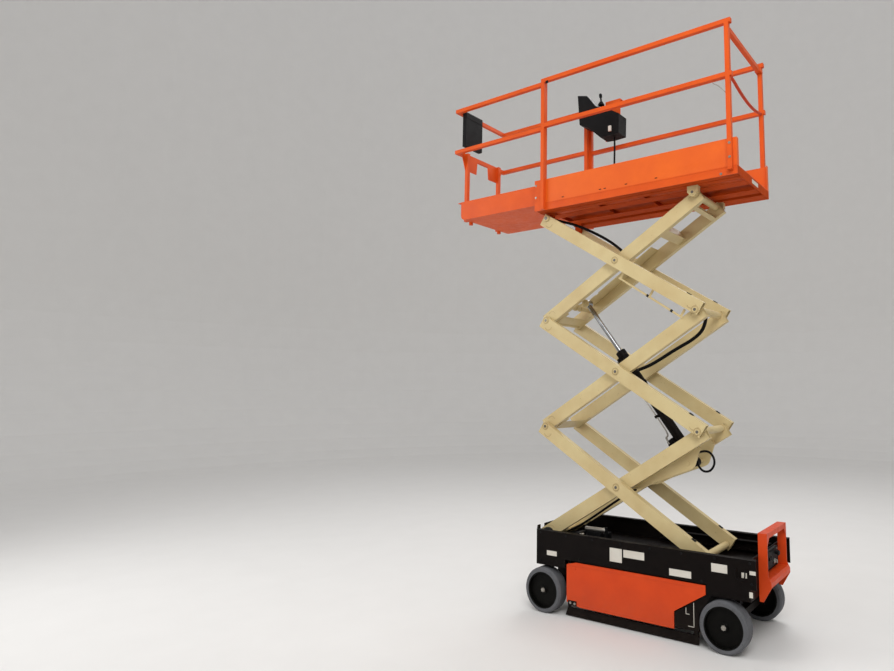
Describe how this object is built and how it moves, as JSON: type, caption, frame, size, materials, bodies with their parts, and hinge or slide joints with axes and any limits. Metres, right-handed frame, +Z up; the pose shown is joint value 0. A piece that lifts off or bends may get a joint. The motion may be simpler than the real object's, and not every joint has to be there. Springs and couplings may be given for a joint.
{
  "type": "scissor lift",
  "caption": "Electric slab scissor lift with a three-stage cream scissor stack, railed orange platform with roll-out deck, rear gate bar and ladder, swing-out battery doors and grey tyres.",
  "frame": {"origin": "on the floor, under the middle of the machine length with the deck rolled out", "axes": "+X forward, +Y to the left of the machine, +Z up"},
  "size_m": [2.72, 0.81, 4.2547],
  "materials": {
    "black_paint": "satin black paint",
    "orange_paint": "gloss orange paint",
    "cream_paint": "semi-gloss cream paint",
    "bare_steel": "turned steel",
    "chrome_rod": "polished",
    "black_plastic": "matte black",
    "grey_plastic": "pale grey",
    "black_rim": "gloss black paint",
    "grey_tyre": "grey non-marking rubber"
  },
  "bodies": {
    "chassis": {"chassis_frame": "black_paint", "roller_track_left": "black_paint", "roller_track_right": "black_paint", "ladder": "orange_paint", "ground_panel": "black_plastic", "front_axle": "black_paint", "rear_axle": "black_paint"},
    "steering_left": {"knuckle_left": "black_paint"},
    "steering_right": {"knuckle_right": "black_paint"},
    "steering_link": {"tie_bar": "black_paint"},
    "wheel_front_left": {"rim_front_left": "black_rim", "tyre_front_left": "grey_tyre"},
    "wheel_front_right": {"rim_front_right": "black_rim", "tyre_front_right": "grey_tyre"},
    "wheel_rear_left": {"rim_rear_left": "black_rim", "tyre_rear_left": "grey_tyre"},
    "wheel_rear_right": {"rim_rear_right": "black_rim", "tyre_rear_right": "grey_tyre"},
    "tray_door_left": {"door_left": "orange_paint", "tray_left": "black_paint", "batteries_left": "black_plastic"},
    "pothole_guard_left": {"pothole_bar_left": "black_paint"},
    "tray_door_right": {"door_right": "orange_paint", "tray_right": "black_paint", "batteries_right": "black_plastic"},
    "pothole_guard_right": {"pothole_bar_right": "black_paint"},
    "inner_frame_1": {"inner_arm_1_left": "cream_paint", "inner_arm_1_right": "cream_paint", "inner_cross_1": "cream_paint"},
    "outer_frame_1": {"outer_arm_1_left": "cream_paint", "outer_arm_1_right": "cream_paint", "base_rollers": "bare_steel"},
    "inner_frame_2": {"inner_arm_2_left": "cream_paint", "inner_arm_2_right": "cream_paint", "inner_cross_2": "cream_paint"},
    "outer_frame_2": {"outer_arm_2_left": "cream_paint", "outer_arm_2_right": "cream_paint"},
    "inner_frame_3": {"inner_arm_3_left": "cream_paint", "inner_arm_3_right": "cream_paint", "inner_cross_3": "cream_paint"},
    "outer_frame_3": {"outer_arm_3_left": "cream_paint", "outer_arm_3_right": "cream_paint"},
    "top_sliders": {"slide_block_left": "cream_paint", "slide_block_right": "cream_paint"},
    "lift_barrel": {"cylinder_barrel": "black_paint"},
    "lift_rod": {"cylinder_rod": "chrome_rod"},
    "platform": {"deck_frame": "orange_paint", "deck_floor": "orange_paint", "toe_board_left": "orange_paint", "toe_board_right": "orange_paint", "guard_rail_left": "orange_paint", "guard_rail_right": "orange_paint", "control_box": "black_plastic"},
    "gate": {"rear_gate": "orange_paint"},
    "roll_out_deck": {"ext_deck": "orange_paint", "ext_rail_left": "orange_paint", "ext_rail_right": "orange_paint", "ext_front_rail": "orange_paint", "document_box": "grey_plastic"}
  },
  "joints": [
    {"name": "steer_left", "type": "hinge", "parent": "chassis", "child": "steering_left", "pos_m": [0.295, 0.255, 0.1615], "axis": [0, 0, 1], "range_deg": [-60, 60]},
    {"name": "steer_right", "type": "hinge", "parent": "chassis", "child": "steering_right", "pos_m": [0.295, -0.255, 0.1615], "axis": [0, 0, 1], "range_deg": [-60, 60]},
    {"name": "tie_pivot", "type": "hinge", "parent": "steering_left", "child": "steering_link", "pos_m": [0.205, 0.255, 0.107], "axis": [0, 0, 1], "range_deg": [-60, 60]},
    {"name": "wheel_front_left_spin", "type": "hinge", "parent": "steering_left", "child": "wheel_front_left", "pos_m": [0.295, 0.355, 0.1615], "axis": [0, 1, 0], "continuous": true},
    {"name": "wheel_rear_left_spin", "type": "hinge", "parent": "chassis", "child": "wheel_rear_left", "pos_m": [-1.105, 0.355, 0.1615], "axis": [0, 1, 0], "continuous": true},
    {"name": "wheel_front_right_spin", "type": "hinge", "parent": "steering_right", "child": "wheel_front_right", "pos_m": [0.295, -0.355, 0.1615], "axis": [0, 1, 0], "continuous": true},
    {"name": "wheel_rear_right_spin", "type": "hinge", "parent": "chassis", "child": "wheel_rear_right", "pos_m": [-1.105, -0.355, 0.1615], "axis": [0, 1, 0], "continuous": true},
    {"name": "door_left_swing", "type": "hinge", "parent": "chassis", "child": "tray_door_left", "pos_m": [0.08, 0.3695, 0.24], "axis": [0, 0, -1], "range_deg": [0, 90]},
    {"name": "pothole_left_lift", "type": "slide", "parent": "chassis", "child": "pothole_guard_left", "axis": [0, 0, 1], "range_m": [0, 0.06]},
    {"name": "door_right_swing", "type": "hinge", "parent": "chassis", "child": "tray_door_right", "pos_m": [0.08, -0.3695, 0.24], "axis": [0, 0, 1], "range_deg": [0, 90]},
    {"name": "pothole_right_lift", "type": "slide", "parent": "chassis", "child": "pothole_guard_right", "axis": [0, 0, 1], "range_m": [0, 0.06]},
    {"name": "lift", "type": "hinge", "parent": "chassis", "child": "inner_frame_1", "pos_m": [0.374, 0, 0.517], "axis": [0, 1, 0], "range_deg": [-28.8, 25.8]},
    {"name": "cross_pivot_1", "type": "hinge", "parent": "inner_frame_1", "child": "outer_frame_1", "pos_m": [-0.26456, 0, 0.93645], "axis": [0, 1, 0], "range_deg": [-51.7, 57.7]},
    {"name": "front_pivot_1", "type": "hinge", "parent": "outer_frame_1", "child": "inner_frame_2", "pos_m": [0.374, 0, 1.35591], "axis": [0, 1, 0], "range_deg": [-57.7, 51.7]},
    {"name": "cross_pivot_2", "type": "hinge", "parent": "inner_frame_2", "child": "outer_frame_2", "pos_m": [-0.26456, 0, 1.77536], "axis": [0, 1, 0], "range_deg": [-51.7, 57.7]},
    {"name": "front_pivot_2", "type": "hinge", "parent": "outer_frame_2", "child": "inner_frame_3", "pos_m": [0.374, 0, 2.19481], "axis": [0, 1, 0], "range_deg": [-57.7, 51.7]},
    {"name": "cross_pivot_3", "type": "hinge", "parent": "inner_frame_3", "child": "outer_frame_3", "pos_m": [-0.26456, 0, 2.61427], "axis": [0, 1, 0], "range_deg": [-51.7, 57.7]},
    {"name": "platform_pivot", "type": "hinge", "parent": "outer_frame_3", "child": "platform", "pos_m": [0.374, 0, 3.03372], "axis": [0, 1, 0], "range_deg": [-28.9, 25.9]},
    {"name": "slider_pivot", "type": "hinge", "parent": "inner_frame_3", "child": "top_sliders", "pos_m": [-0.90311, 0, 3.03372], "axis": [0, 1, 0], "range_deg": [-25.9, 28.9]},
    {"name": "cylinder_pivot", "type": "hinge", "parent": "inner_frame_1", "child": "lift_barrel", "pos_m": [-0.77201, 0, 1.12382], "axis": [0, 1, 0], "range_deg": [-51.7, 57.7]},
    {"name": "cylinder_stroke", "type": "slide", "parent": "lift_barrel", "child": "lift_rod", "axis": [0.6025, 0, 0.7981], "range_m": [-0.4534, 0.4063]},
    {"name": "gate_swing", "type": "hinge", "parent": "platform", "child": "gate", "pos_m": [-1.22, -0.32, 4.11172], "axis": [1, 0, 0], "range_deg": [0, 80]},
    {"name": "deck_roll_out", "type": "slide", "parent": "platform", "child": "roll_out_deck", "axis": [1, 0, 0], "range_m": [-0.82, 0]}
  ],
  "couplings": [
    {"joint": "cross_pivot_1", "follows": "lift", "ratio": -2},
    {"joint": "front_pivot_1", "follows": "lift", "ratio": 2},
    {"joint": "cross_pivot_2", "follows": "lift", "ratio": -2},
    {"joint": "front_pivot_2", "follows": "lift", "ratio": 2},
    {"joint": "cross_pivot_3", "follows": "lift", "ratio": -2},
    {"joint": "platform_pivot", "follows": "lift", "ratio": 1},
    {"joint": "slider_pivot", "follows": "lift", "ratio": -1},
    {"joint": "cylinder_pivot", "follows": "lift", "ratio": -2},
    {"joint": "cylinder_stroke", "follows": "lift", "m_per_rad": 0.9},
    {"joint": "steer_right", "follows": "steer_left", "ratio": 1},
    {"joint": "tie_pivot", "follows": "steer_left", "ratio": -1}
  ]
}
